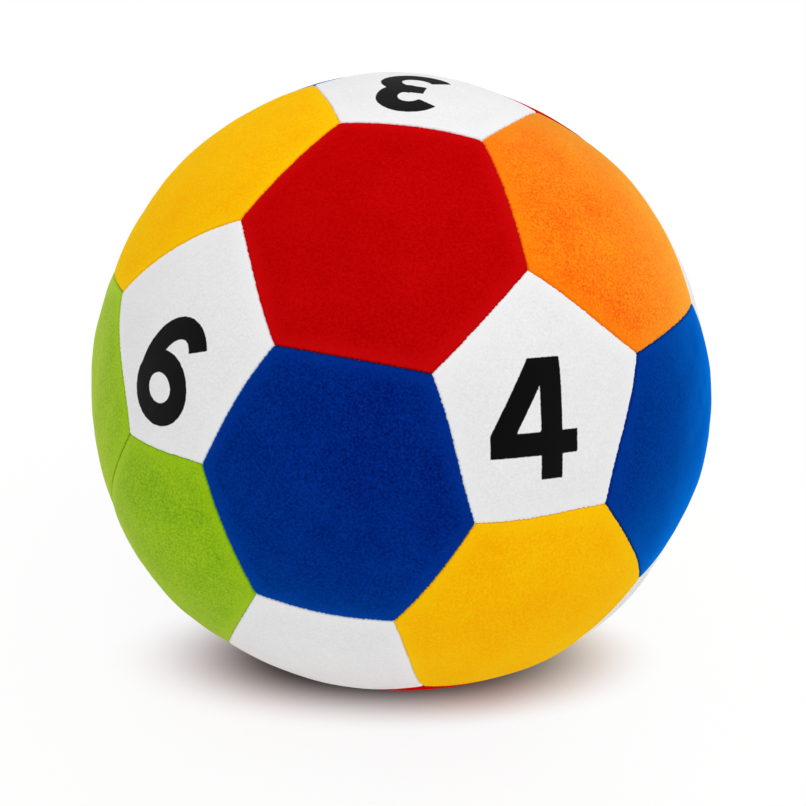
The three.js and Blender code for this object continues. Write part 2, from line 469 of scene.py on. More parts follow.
def thin_rim(bm, outline, rows, kept):
    """Keeps only some of the corners along each side of the open rim."""
    spare = []
    for vert in rim_corners(bm):
        turn = math.atan2(vert.co.y, vert.co.x) / (2 * math.pi / outline.sides)
        offset = math.tan((turn - round(turn)) * 2 * math.pi / outline.sides)
        step = (offset / math.tan(math.pi / outline.sides) + 1) / 2 * rows
        if round(step) % (rows // kept):
            spare.append(vert)
    bmesh.ops.dissolve_verts(bm, verts=spare)


def fan(outline, rows, crowding):
    """A fan of triangles on the unit sphere, one to each side, in rows that crowd towards the sides."""
    bm = bmesh.new()
    half_sector = math.pi / outline.sides
    bmesh.ops.create_circle(
        bm,
        cap_ends=True,
        cap_tris=True,
        segments=outline.sides,
        radius=outline.corner_slope,
        matrix=Matrix.Rotation(half_sector - math.pi / 2, 4, "Z"),
    )
    bmesh.ops.subdivide_edges(bm, edges=bm.edges[:], cuts=rows - 1, use_grid_fill=True)
    sides = [Vector(normal[:2]).normalized() for normal in outline.normals]
    for vert in bm.verts:
        share = max(vert.co.xy.dot(side) for side in sides) / outline.side_slope
        if share > 1e-6:
            vert.co *= (1 - max(1 - share, 0) ** crowding) / share
        vert.co.z = 1
        vert.co.normalize()
    bm.normal_update()
    if next(iter(bm.faces)).normal.z < 0:
        bmesh.ops.reverse_faces(bm, faces=bm.faces[:])
    return bm


def points_of(mesh):
    points = np.empty(len(mesh.vertices) * 3, np.float32)
    mesh.vertices.foreach_get("co", points)
    return points.reshape(-1, 3).astype(float)


def set_points(mesh, points):
    mesh.vertices.foreach_set("co", points.astype(np.float32).ravel())
    mesh.update()


def set_number(mesh, name, values):
    """Stores one number for each point of a mesh, for its material to read."""
    layer = mesh.attributes.new(name, "FLOAT", "POINT")
    layer.data.foreach_set("value", values.astype(np.float32))


def add_object(name, data):
    made = bpy.data.objects.new(name, data)
    bpy.context.scene.collection.objects.link(made)
    return made


def place_piece(name, mesh, material):
    """Adds a finished mesh as a piece that rides on the ball."""
    mesh.shade_smooth()
    mesh.materials.append(material)
    piece = add_object(name, mesh)
    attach(piece, "root")
    return piece


# The plush panels

CROWDING = 1.25  # how much the rows of mesh crowd towards the seams
LINING_STEPS = 8  # corners kept along a side of the hidden inner face
LINING_SHARES = (0.75, 0.5, 0.25)  # rings of the inner face, as shares of its width
CORNER_ARC = 2 * math.asin(1 / (2 * CORNER_REACH))  # angle that a panel's side takes at the ball's centre
SEAM_SENSE = np.array([0.3, 0.5, 0.8])  # the way in which a seam's swing counts as positive
TUFT_PITCH = 1.0 * MM  # spacing of the tufts that lean over a seam
SWING_REACH = 0.8 * MM  # how far to its sides the swing of a seam is felt
SWING_FADE = 2 * MM  # length over which a seam's swing dies away towards a corner
PULL_REACH = 1.2 * MM  # how far to its sides the pull of a seam's stitches is felt
CORNER_SOFTNESS = 0.25 * MM  # roundness of the form where two seams of a panel meet
LARGE_LUMPS = 24 * MM  # spacing of the large lumps of the stuffing
SMALL_LUMPS = 9 * MM  # and of the small ones
SMALL_SHARE = 0.2  # height of the small lumps, as a share of the large ones'
LUMPS_FROM = 6 * MM  # distance from a seam over which the lumps come in
REST_SOFTNESS = 0.15 * MM  # how softly the pile gives way to the floor
PALE_FOLD = 0.2  # painted shade in the fold beside a white panel, as a share of that between two hexagons


def panel_master(outline, sizes):
    """The closed sheet of one panel: its face, turned-in edge and inner face, still on the unit sphere."""
    radius = sizes.ball_radius
    seam = (radius - sizes.seam_sink) / radius
    allowance = seam - sizes.allowance / radius
    lining = (radius - sizes.cloth) / radius
    apothem = math.atan(outline.side_slope) * radius
    bm = fan(outline, sizes.rows, CROWDING)
    turn_rim_in(bm, seam - 0.5 * sizes.cloth / radius)
    turn_rim_in(bm, (seam + allowance) / 2)
    turn_rim_in(bm, allowance)
    thin_rim(bm, outline, sizes.rows, LINING_STEPS)
    turn_rim_in(bm, allowance, sizes.cloth / apothem)
    turn_rim_in(bm, lining - sizes.cloth / radius)
    share = 1.0
    for wanted in LINING_SHARES:
        turn_rim_in(bm, lining, 1 - wanted / share)
        share = wanted
    bmesh.ops.pointmerge(bm, verts=rim_corners(bm), merge_co=Vector((0, 0, lining)))
    bmesh.ops.triangulate(bm, faces=[face for face in bm.faces if len(face.verts) > 3])
    return mesh_of(bm, "panel_master")


def smooth_least(values, softness):
    """The least of each row of values, rounded off where two are nearly alike."""
    lowest = values.min(axis=1, keepdims=True)
    likeness = np.exp((lowest - values) / softness).sum(axis=1, keepdims=True)
    return (lowest - softness * np.log(likeness))[:, 0]


def quarter_round(inset, width, drop, edge):
    """Depth of a quarter of an ellipse that falls by drop over a width, from an inset to the edge."""
    roll = np.clip((width - inset) / (width - edge), 0, 1)
    return drop * (1 - np.sqrt(1 - roll**2))


def seam_gaps(ways, outline, radius):
    """Distance of each way from each seam of its panel."""
    return -np.arcsin(np.clip(ways @ outline.normals.T, -1, 1)) * radius


def seam_wander(ways, along, outline, placing, sizes):
    """How far each seam's line swings beside each way. It is the same for both panels of the seam."""
    radius = sizes.ball_radius
    pitch = CORNER_ARC * radius / sizes.stitches
    swings = np.empty(along.shape)
    for side, normal in enumerate(outline.normals):
        on_seam = unit(ways - (ways @ normal)[:, None] * normal) @ placing
        sense = math.copysign(1, normal @ placing @ SEAM_SENSE)
        leaning = sizes.tuft_wander * ripples(on_seam * radius, TUFT_PITCH, seed=15, count=24)
        stitched = sizes.stitch_wander * np.cos(2 * math.pi * along[:, side] / pitch)
        ends = np.clip((CORNER_ARC * radius / 2 - np.abs(along[:, side])) / SWING_FADE, 0, 1)
        swings[:, side] = sense * (leaning + stitched) * ends
    return swings


def shape_panel(mesh, outline, placing, sizes, uneven, rise=None):
    """Gives a copy of a panel's master its real form and place. The rise of a stuffed panel goes from
    0 at its seams to 1 at its crown, and without one the panel has a plain shoulder."""
    radius, edge = sizes.ball_radius, sizes.seam_gap / 2
    points = points_of(mesh)
    reach = np.linalg.norm(points, axis=1)
    ways = points / reach[:, None]
    face = reach > 1 - 1e-5

    # Every point keeps half the gap from the seam, and the seam's line isn't straight
    gaps = seam_gaps(ways, outline, radius)
    along = np.arctan2(ways @ outline.tangents.T, ways @ outline.middles.T) * radius
    swing = seam_wander(ways, along, outline, placing, sizes) * np.exp(-np.abs(gaps) / SWING_REACH)
    push = np.maximum(edge - gaps, 0)
    ways = unit(ways + (swing - push) @ outline.normals / radius)

    gaps = np.maximum(gaps, edge)
    inset = np.maximum(smooth_least(gaps, CORNER_SOFTNESS), edge)
    nearest = gaps.argmin(axis=1)
    beside = np.take_along_axis(along, nearest[:, None], axis=1)[:, 0]
    if rise is None:
        sag = quarter_round(inset, sizes.shoulder, sizes.pillow, edge)
    else:
        sag = sizes.pillow * (1 - rise)
    fold = quarter_round(inset, sizes.lip, sizes.lip_drop, edge)
    stitched = 0.5 + 0.5 * np.cos(2 * math.pi * beside * sizes.stitches / (CORNER_ARC * radius))
    pull = sizes.stitch_pull * stitched * np.exp(-inset / PULL_REACH)

    ways = uneven.drift(ways @ placing)
    form = radius + uneven.swell(ways)
    large = ripples(ways * radius, LARGE_LUMPS, seed=11)
    small = ripples(ways * radius, SMALL_LUMPS, seed=12)
    lumps = sizes.lumps * (large + SMALL_SHARE * small) * (1 - np.exp(-inset / LUMPS_FROM))
    skin = form - sag - fold - pull + lumps
    depth = np.where(face, skin, form - (1 - reach) * radius)
    points = ways * depth[:, None]
    points[:, 2] += CENTRE_HEIGHT
    low = points[:, 2] < 10 * REST_SOFTNESS
    points[low, 2] = REST_SOFTNESS * np.log1p(np.exp(points[low, 2] / REST_SOFTNESS))
    set_points(mesh, points)
    # seam_distance feeds the material's painted sheen along the seams and painted shade in their folds;
    # fold_shade sets how dark that painted shade is
    set_number(mesh, "seam_distance", np.where(face, inset, 0))
    coloured = (outline is HEXAGON) & (nearest % 2 == 1)  # the sides of a hexagon that meet another one
    set_number(mesh, "fold_shade", np.where(coloured, 1.0, PALE_FOLD))
    return ways


# The stuffing, as a simulation of the whole sewn cover

PATCH_ROWS = 8  # rows of mesh from a panel's middle to its side in the simulated cover
SLACK = 1.2 * MM  # how much smaller than the stuffed ball the empty cover starts
SETTLING = 20  # frames
PRESSURE = 1000.0  # enough for the crowns to rise by about the slack
USUAL = 80  # percent of the cover's points that rise less than a usual crown does
FULLEST = 1.15  # most that a point may rise, as a share of a usual crown's rise
PATCH_REACH = 5 * MM  # how far a simulated point shapes the fine mesh round it
ON_SEAM = 0.1 * MM  # points nearer to a seam than this are sewn


def patch(outline):
    """The corners of a coarse panel on the unit sphere, and its mesh."""
    mesh = mesh_of(fan(outline, PATCH_ROWS, crowding=1.0), "patch")
    return points_of(mesh), mesh


def sew_cover(plan, sizes, uneven):
    """Joins coarse panels to one closed cover, and returns it with each panel's corners in it by number."""
    radius = sizes.ball_radius
    corners, on_seams, meshes = {}, [], []
    for node_name, _, _, outline, placing in plan:
        ways, mesh = patch(outline)
        on_seams.append(seam_gaps(ways, outline, radius).min(axis=1) < ON_SEAM)
        corners[node_name] = uneven.drift(ways @ placing) * (radius - SLACK)
        set_points(mesh, corners[node_name])
        meshes.append(mesh)
    mesh = mesh_of(weld(meshes), "cover")
    finder = KDTree(len(mesh.vertices))
    for i, vert in enumerate(mesh.vertices):
        finder.insert(vert.co, i)
    finder.balance()
    numbers = {name: [finder.find(spot)[1] for spot in spots] for name, spots in corners.items()}
    cover = add_object("cover", mesh)
    sewn = set()
    for found, seamed in zip(numbers.values(), on_seams):
        sewn.update(i for i, held in zip(found, seamed) if held)
    cover.vertex_groups.new(name="sewn").add(sorted(sewn), 1.0, "REPLACE")
    return cover, numbers


def stuff_cover(cover):
    """Blows the cover up with its seams held, and returns how far each of its points rose."""
    cloth = cover.modifiers.new("stuffing", "CLOTH")
    cloth.settings.quality = 6
    cloth.settings.mass = 0.1
    cloth.settings.air_damping = 5
    cloth.settings.use_pressure = True
    cloth.settings.uniform_pressure_force = PRESSURE
    cloth.settings.effector_weights.gravity = 0
    cloth.settings.vertex_group_mass = "sewn"
    cloth.settings.bending_stiffness = 0.5
    cloth.point_cache.frame_start = 1
    cloth.point_cache.frame_end = SETTLING
    before = np.linalg.norm(points_of(cover.data), axis=1)
    scene = bpy.context.scene
    for moment in range(1, SETTLING + 1):
        scene.frame_set(moment)
    blown = cover.evaluated_get(bpy.context.evaluated_depsgraph_get())
    after = np.linalg.norm(points_of(blown.data), axis=1)
    scene.frame_set(1)
    return after - before


def stuffed_rises(plan, sizes, uneven):
    """The rise of each panel's coarse corners as the stuffing fills it, from 0 at its seams to about 1."""
    cover, numbers = sew_cover(plan, sizes, uneven)
    rise = stuff_cover(cover)
    mesh = cover.data
    bpy.data.objects.remove(cover)
    bpy.data.meshes.remove(mesh)
    usual = np.percentile(rise, USUAL)
    return {name: np.clip(rise[found] / usual, 0, FULLEST) for name, found in numbers.items()}


def patch_weights(mesh, outline, radius):
    """The share of each coarse corner of a panel in each point of its fine mesh."""
    coarse, spare = patch(outline)
    bpy.data.meshes.remove(spare)
    reach = PATCH_REACH / radius
    own = bumps(coarse, coarse, reach) + 1e-5 * np.eye(len(coarse))
    return bumps(unit(points_of(mesh)), coarse, reach) @ np.linalg.inv(own)


# The filling

LOBE_ROWS = 16  # rows of mesh from a lobe's middle to its side
LOBE_CROWDING = 1.6  # how much they crowd towards the groove round it
GROOVE_LIP = 1.8 * MM  # width over which a lobe rises out of its groove
LOBE_SINK = 1.2 * MM  # space between the top of a lobe and the cloth over it
LOBE_FALL = 1.6 * MM  # how much lower a lobe is beside its groove
LOBE_REACH = 4 * MM  # how far in from the groove that is felt
FIBRE_TUFTS = 5 * MM  # spacing of the tufts of fibre
FIBRE_HEIGHT = 0.4 * MM  # how far they stand out


def lobe(outline, placing, sizes, uneven):
    """The mesh of the filling's lobe under one panel, down to the grooves for the turned-in edges."""
    radius = sizes.ball_radius
    floor = radius - sizes.seam_sink - sizes.allowance - sizes.lie_gap
    half_groove = sizes.lie_gap * 1.5 + sizes.cloth
    mesh = mesh_of(fan(outline, LOBE_ROWS, LOBE_CROWDING), "lobe")
    ways = points_of(mesh)
    gaps = seam_gaps(ways, outline, radius).min(axis=1)
    ways = uneven.drift(ways @ placing)
    rise = np.clip((gaps - half_groove) / GROOVE_LIP, 0, 1)
    rise = rise * rise * (3 - 2 * rise)
    crown = radius - sizes.cloth - LOBE_SINK + uneven.swell(ways)
    crown = crown - LOBE_FALL * np.exp(-np.maximum(gaps - half_groove, 0) / LOBE_REACH)
    tufts = FIBRE_HEIGHT * ripples(ways * radius, FIBRE_TUFTS, seed=21)
    depth = floor + (crown - floor) * rise + tufts * rise
    set_points(mesh, ways * depth[:, None] + np.array([0, 0, CENTRE_HEIGHT]))
    return mesh


# The stitches

STITCHED = 0.48  # how far a seam is stitched to either side of its middle, as a share of its length
NUDGE = 0.2 * MM  # a small step across a seam, to find its way there


def seams():
    """The middle of every seam, and the ways along and across it."""
    found = []
    for _, _, _, outline, placing in panel_plan():
        for tables in zip(outline.middles, outline.tangents, outline.normals):
            middle, tangent, normal = (unit(way @ placing) for way in tables)
            if all(middle @ other < NEARLY_ONE for other, _, _ in found):
                found.append((middle, tangent, normal))
    return found


def lay_stitch(stitch, shape, way, normal, sizes, uneven):
    """Moves a stitch's mesh to where its thread crosses a seam."""
    radius = sizes.ball_radius
    out, beyond = uneven.drift(unit(np.array([way, way + normal * (NUDGE / radius)])))
    across = unit(beyond - out)
    beside = np.cross(out, across)
    swell = uneven.swell(out[None])[0]
    deep = radius - sizes.pillow - sizes.lip_drop - sizes.thread + swell
    points = shape @ np.stack([beside, out, across]) + out * deep
    points[:, 2] += CENTRE_HEIGHT
    set_points(stitch, points)


# The printed numbers

STROKE = 0.195  # width of a figure's strokes, as a share of its height
BARE = -5 * MM  # depth in the print, where there is none


def arc(x, y, across, tall, start, end):
    """Points along part of an ellipse, from one angle to another, in degrees."""
    turns = np.radians(np.linspace(start, end, 25))
    return np.stack([x + across * np.cos(turns), y + tall * np.sin(turns)], axis=1)


def bar(*corners):
    return np.array(corners)


# The middle lines of each figure's strokes, for a figure one unit high, round its middle
FIGURES = {
    "1": [bar((0.08, -0.5), (0.08, 0.5)), bar((-0.22, 0.25), (0.08, 0.44))],
    "2": [
        arc(0, 0.185, 0.22, 0.22, 165, -35),
        bar((0.19, 0.07), (-0.25, -0.4)),
        bar((-0.34, -0.4), (0.33, -0.4)),
    ],
    "3": [
        arc(-0.01, 0.2, 0.2, 0.205, 155, -90),
        arc(-0.01, -0.19, 0.235, 0.215, 90, -155),
        bar((-0.12, 0.01), (0.02, 0.01)),
    ],
    "4": [
        bar((0.14, -0.5), (0.14, 0.5)),
        bar((-0.4, -0.2), (0.38, -0.2)),
        bar((-0.315, -0.152), (0.062, 0.5)),
    ],
    "5": [
        bar((-0.2, 0.4), (0.28, 0.4)),
        bar((-0.18, 0.5), (-0.23, -0.02)),
        arc(-0.02, -0.16, 0.25, 0.24, 145, -155),
    ],
    "6": [arc(0, -0.18, 0.24, 0.225, 0, 360), arc(0.03, -0.02, 0.27, 0.425, 198, 50)],
}


def depth_in_stroke(points, line):
    """How far flat points lie inside a stroke, and below 0 outside it. Its open ends are cut square."""
    step = line[1:] - line[:-1]
    to_point = points[:, None] - line[:-1]
    share = np.clip((to_point * step).sum(-1) / (step * step).sum(-1), 0, 1)
    depth = STROKE / 2 - np.linalg.norm(to_point - share[..., None] * step, axis=-1).min(axis=1)
    if np.allclose(line[0], line[-1]):
        return depth
    for end, inner in ((line[0], line[1]), (line[-1], line[-2])):
        inward = (points - end) @ unit(inner - end)
        near = np.linalg.norm(points - end, axis=1) < 1.2 * STROKE
        depth = np.where(near, np.minimum(depth, inward), depth)
    return depth


def depth_in_figure(points, figure):
    depth = np.max([depth_in_stroke(points, line) for line in FIGURES[figure]], axis=0)
    return np.minimum(depth, 0.5 - np.abs(points[:, 1]))


def print_number(mesh, ways, place, sizes):
    """Stores how deep each point of a white panel lies in its printed number."""
    height = sizes.number_height
    depth = np.full(len(ways), BARE)
    if place in NUMBERS:
        figure, right_mm, up_mm, turn = NUMBERS[place]
        right, up = right_and_up(PENTAGONS[place])
        spot = unit(PENTAGONS[place] + (right * right_mm + up * up_mm) * MM / sizes.ball_radius)
        right = unit(right - spot * (right @ spot))
        up = np.cross(spot, right)
        flat = np.stack([ways @ right, ways @ up], axis=1)
        angle = np.arccos(np.clip(ways @ spot, -1, 1))
        flat *= (angle * sizes.ball_radius / np.maximum(np.linalg.norm(flat, axis=1), 1e-9))[:, None]
        turn = math.radians(turn)
        turned = flat @ np.array([[math.cos(turn), -math.sin(turn)], [math.sin(turn), math.cos(turn)]])
        near = np.linalg.norm(turned, axis=1) < height
        depth[near] = depth_in_figure(turned[near] / height, figure) * height
    set_number(mesh, "print_depth", depth)


# Materials


def feed(tree, socket, value):
    """Sets a node's input to a value, or links another node's output to it."""
    if isinstance(value, bpy.types.NodeSocket):
        tree.links.new(value, socket)
    else:
        socket.default_value = value


def node(tree, kind, *values, **inputs):
    """Adds a shader node, and feeds its inputs in their order or by their names, with _ for a space."""
    made = tree.nodes.new(kind)
    for socket, value in zip(made.inputs, values):
        feed(tree, socket, value)
    for name, value in inputs.items():
        feed(tree, made.inputs[name.replace("_", " ")], value)
    return made


def maths(tree, operation, *values):
    """The output of a sum, product or like step on numbers and other outputs."""
    made = tree.nodes.new("ShaderNodeMath")
    made.operation = operation
    for socket, value in zip(made.inputs, values):
        feed(tree, socket, value)
    return made.outputs[0]


def ranged(tree, value, low, high, at_low=0.0, at_high=1.0, smooth=False):
    """Carries a value from one range to another, and holds it at the ends."""
    made = node(tree, "ShaderNodeMapRange", Value=value)
    for name, number in zip(("From Min", "From Max", "To Min", "To Max"), (low, high, at_low, at_high)):
        made.inputs[name].default_value = number
    if smooth:
        made.interpolation_type = "SMOOTHSTEP"
    return made.outputs[0]


def place_on_piece(tree):
    """Each point's place in its piece's own space, which is the ball's."""
    return tree.nodes.new("ShaderNodeTexCoord").outputs["Object"]


def noise(tree, place, size, detail=1.0):
    """Noise round 0.5 with features of about that size."""
    return node(tree, "ShaderNodeTexNoise", Vector=place, Scale=1 / size, Detail=detail).outputs["Fac"]


def stored(tree, name):
    """A number that the mesh holds at each point."""
    made = tree.nodes.new("ShaderNodeAttribute")
    made.attribute_name = name
    return made.outputs["Fac"]


def fresh_material(name):
    material = bpy.data.materials.new(name)
    material.use_nodes = True
    tree = material.node_tree
    tree.nodes.clear()
    output = tree.nodes.new("ShaderNodeOutputMaterial")
    shader = tree.nodes.new("ShaderNodeBsdfPrincipled")
    tree.links.new(shader.outputs[0], output.inputs[0])
    return material, tree, shader


def make_matt(shader):
    shader.inputs["Roughness"].default_value = 1.0
    shader.inputs["Specular IOR Level"].default_value = 0.0


def deeper(base, depth):
    """A colour with each channel raised to a power: darker and richer above 1, lighter below it. It gives
    the pile's spread of tone, and the painted sheen and shade by the seams.
    """
    return (*[channel**depth for channel in base], 1)


def dimmed(base, share):
    """A colour with only a share of its light."""
    return (*[channel * share for channel in base], 1)


def shade_between(tree, amount, dark, light):
    """A colour from dark to light by an amount of 0 to 1."""
    mix = tree.nodes.new("ShaderNodeMix")
    mix.data_type = "RGBA"
    tree.links.new(amount, mix.inputs["Factor"])
    for name, value in (("A", dark), ("B", light)):
        ends = (item for item in mix.inputs if item.name == name and item.type == "RGBA")
        feed(tree, next(ends), value)
    return next(item for item in mix.outputs if item.type == "RGBA")


# Of each plush: the contrast of its pile, how deep the painted shade in a fold makes its colour,
# and the weight and tint of its sheen
PILES = {
    "white": (0.25, 1.1, 0.10, (1.0, 1.0, 1.0)),
    "red": (0.18, 1.9, 0.60, (1.0, 0.002, 0.005)),
    "blue": (0.24, 1.9, 1.00, (0.002, 0.26, 1.0)),
    "yellow": (0.24, 1.1, 0.35, (1.0, 0.90, 0.04)),
    "orange": (0.38, 1.1, 0.80, (1.0, 0.75, 0.11)),
    "green": (0.30, 1.25, 0.50, (0.85, 0.90, 0.22)),
}
SEAM_SHEEN_DEPTH = 0.75  # depth of the colour in the painted sheen beside a seam, where the bent pile catches the light
GRAIN = 0.65 * MM  # size of the finest spots of the pile
CLUMPS = 2.5 * MM  # size of its clumps
BRUSH_MARKS = 14 * MM  # size of the marks where it was brushed
CLUMP_SHARE = 0.12  # how much the clumps add to the grain
BRUSH_SHARE = 0.35  # how much the brush marks add to it
PILE_SPREAD = (0.48, 0.99)  # the sums of all three at which the pile is lit least and most
SEAM_SHEEN = 0.6  # how strong the painted sheen is right at a seam
SEAM_SHEEN_SPAN = (0.4 * MM, 6 * MM)  # distances from a seam between which the painted sheen fades out
FOLD_SPAN = (0.05 * MM, 0.45 * MM)  # distances from a seam between which the painted shade in its fold ends
INK_SPAN = (0.05 * MM, 0.25 * MM)  # depths in a figure between which the ink starts
INK_FRAY = 0.3 * MM  # how far single tufts shift the ink's edge
PILE_HEIGHT = 0.2 * MM  # how far the grain and the clumps stand out


def plush_material(name, base, ink=None):
    """Short velvety pile: grain, clumps, soft brush marks, a painted sheen along the seams, painted shade
    in their folds, and the shader's own sheen.
    """
    material, tree, shader = fresh_material(f"{name}_plush")
    contrast, fold_shade_depth, sheen, tint = PILES[name]
    place = place_on_piece(tree)
    grain = noise(tree, place, GRAIN)
    clumps = noise(tree, place, CLUMPS, detail=2.0)
    brushed = noise(tree, place, BRUSH_MARKS, detail=2.0)
    pile = maths(tree, "MULTIPLY_ADD", clumps, CLUMP_SHARE, grain)
    pile = maths(tree, "MULTIPLY_ADD", brushed, BRUSH_SHARE, pile)
    shade = ranged(tree, pile, *PILE_SPREAD)
    cloth = shade_between(tree, shade, deeper(base, 1 + contrast), deeper(base, 1 - contrast))
    beside = stored(tree, "seam_distance")
    # Painted sheen: the colour is lighter along each seam, where the bent pile catches the light
    seam_sheen = ranged(tree, beside, *SEAM_SHEEN_SPAN, at_low=SEAM_SHEEN, at_high=0.0, smooth=True)
    cloth = shade_between(tree, seam_sheen, cloth, deeper(base, SEAM_SHEEN_DEPTH))
    # Painted shade: the colour is darker down in the fold of each seam
    in_fold = ranged(tree, beside, *FOLD_SPAN, at_low=1.0, at_high=0.0)
    painted_fold_shade = maths(tree, "MULTIPLY", in_fold, stored(tree, "fold_shade"))
    cloth = shade_between(tree, painted_fold_shade, cloth, deeper(base, fold_shade_depth))
    if ink:
        frayed = maths(tree, "MULTIPLY_ADD", grain, INK_FRAY, stored(tree, "print_depth"))
        inked = ranged(tree, frayed, *INK_SPAN)
        cloth = shade_between(tree, inked, cloth, (*ink, 1))
    tree.links.new(cloth, shader.inputs["Base Color"])
    height = maths(tree, "MULTIPLY_ADD", grain, 0.6, clumps)
    bump = node(tree, "ShaderNodeBump", Height=height, Strength=0.35, Distance=PILE_HEIGHT)
    tree.links.new(bump.outputs[0], shader.inputs["Normal"])
    make_matt(shader)
    shader.inputs["Sheen Weight"].default_value = sheen
    shader.inputs["Sheen Roughness"].default_value = 0.5
    shader.inputs["Sheen Tint"].default_value = (*tint, 1)
    return material


def sees_background(tree):
    """1 for the rays that show the white background: the camera's, and those off gloss or through glass."""
    path = tree.nodes.new("ShaderNodeLightPath").outputs
    clear = maths(tree, "MAXIMUM", path["Is Glossy Ray"], path["Is Transmission Ray"])
    return maths(tree, "MAXIMUM", path["Is Camera Ray"], clear)


def fibre_material(base):
    """Loose polyester fibre: pale, with strands that show as fine streaks."""
    material, tree, shader = fresh_material("polyester_fibre")
    place = place_on_piece(tree)
    waves = node(tree, "ShaderNodeTexNoise", Vector=place, Scale=220.0, Detail=6.0, Distortion=3.0)
    strands = waves.outputs["Fac"]
    shaded = shade_between(tree, strands, dimmed(base, 0.8), (*base, 1))
    tree.links.new(shaded, shader.inputs["Base Color"])
    bump = node(tree, "ShaderNodeBump", Height=strands, Strength=0.8, Distance=0.6 * MM)
    tree.links.new(bump.outputs[0], shader.inputs["Normal"])
    shader.inputs["Roughness"].default_value = 0.95
    shader.inputs["Specular IOR Level"].default_value = 0.1
    return material


def thread_material(base):
    """Spun sewing thread with a slight lustre."""
    material, tree, shader = fresh_material("seam_thread")
    place = place_on_piece(tree)
    plies = noise(tree, place, 0.2 * MM)
    tree.links.new(shade_between(tree, plies, dimmed(base, 0.7), (*base, 1)), shader.inputs["Base Color"])
    shader.inputs["Roughness"].default_value = 0.6
    return material


# The stage

FLOOR_REACH = 6  # metres from the floor's middle to its sides
FLOOR_DROP = 0.05 * MM  # how far the floor lies below the ball
FLOOR_GLARE = 0.92  # how much of the clear floor the camera sees as plain white
SHADOW_OVAL_FADE = (0.5, 1.33)  # where the painted shadow oval starts and stops fading, as shares of its reach
PAINTED_BOUNCE_SPAN = (-0.3, 0.5)  # the same for the painted bounce of the plush's colour, from the oval's middle to its right
WHITE = (1, 1, 1, 1)

# Of each lamp: its height, its turn to the right of the front, and how wide it looks, in degrees
LAMPS = {"overhead": (80, 100, 90), "fill": (6, -5, 60)}


def way_out(lift, turn):
    """The direction at an angle above the floor and an angle to the right of the front."""
    return Vector((math.cos(lift) * math.sin(turn), -math.cos(lift) * math.cos(turn), math.sin(lift)))


# Operators


class PLUSHBALL_OT_panels(bpy.types.Operator):
    """Make the 32 sewn panels of plush, the white ones with their printed numbers"""

    bl_idname = "plushball.panels"
    bl_label = "Plush Panels"

    def execute(self, context):
        sizes, colours = context.scene.plush_ball_sizes, context.scene.plush_ball_colours
        uneven = Unevenness(sizes.ball_radius)
        masters = {outline: panel_master(outline, sizes) for outline in (PENTAGON, HEXAGON)}
        materials = {}
        plan, rises = panel_plan(), {}
        rises = stuffed_rises(plan, sizes, uneven)
        weights = {
            outline: patch_weights(mesh, outline, sizes.ball_radius)
            for outline, mesh in masters.items()
        }
        for node_name, hue, place, outline, placing in plan:
            if hue not in materials:
                ink = colours.ink if hue == "white" else None
                materials[hue] = plush_material(hue, getattr(colours, hue), ink)
            mesh = masters[outline].copy()
            mesh.name = f"{node_name}_plush"
            rise = weights[outline] @ rises[node_name] if rises else None
            ways = shape_panel(mesh, outline, placing, sizes, uneven, rise)
            if outline is PENTAGON:
                print_number(mesh, ways, place, sizes)
            piece = place_piece(f"{node_name}_plush", mesh, materials[hue])
            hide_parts(node_name)
        return {"FINISHED"}


class PLUSHBALL_OT_filling(bpy.types.Operator):
    """Make the fibre filling, with a lobe under every panel and grooves for the turned-in edges"""

    bl_idname = "plushball.filling"
    bl_label = "Fibre Filling"

    def execute(self, context):
        sizes, colours = context.scene.plush_ball_sizes, context.scene.plush_ball_colours
        uneven = Unevenness(sizes.ball_radius)
        lobes = [lobe(outline, placing, sizes, uneven) for _, _, _, outline, placing in panel_plan()]
        joined = weld(lobes)
        bmesh.ops.recalc_face_normals(joined, faces=joined.faces[:])
        mesh = mesh_of(joined, "fibre_filling_soft")
        piece = place_piece("fibre_filling_soft", mesh, fibre_material(colours.filling))
        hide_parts("fibre_filling")
        return {"FINISHED"}


class PLUSHBALL_OT_stitches(bpy.types.Operator):
    """Make the short threads that cross the seams between the panels"""

    bl_idname = "plushball.stitches"
    bl_label = "Seam Stitches"

    def execute(self, context):
        sizes, colours = context.scene.plush_ball_sizes, context.scene.plush_ball_colours
        uneven = Unevenness(sizes.ball_radius)
        master = bmesh.new()
        bmesh.ops.create_uvsphere(master, u_segments=5, v_segments=4, radius=0.5)
        slim = (sizes.thread, sizes.thread, sizes.stitch_length)
        bmesh.ops.scale(master, verts=master.verts[:], vec=slim)
        stitch = mesh_of(master, "stitch")
        shape = points_of(stitch)
        joined = bmesh.new()
        half = sizes.stitches / 2
        places = [(i + 0.5 - half) * CORNER_ARC / sizes.stitches for i in range(sizes.stitches)]
        for middle, tangent, normal in seams():
            for along in places:
                if abs(along) <= CORNER_ARC * STITCHED:
                    way = math.cos(along) * middle + math.sin(along) * tangent
                    lay_stitch(stitch, shape, way, normal, sizes, uneven)
                    joined.from_mesh(stitch)
        mesh = mesh_of(joined, "seam_stitches")
        bpy.data.meshes.remove(stitch)
        place_piece("seam_stitches", mesh, thread_material(colours.thread))
        return {"FINISHED"}


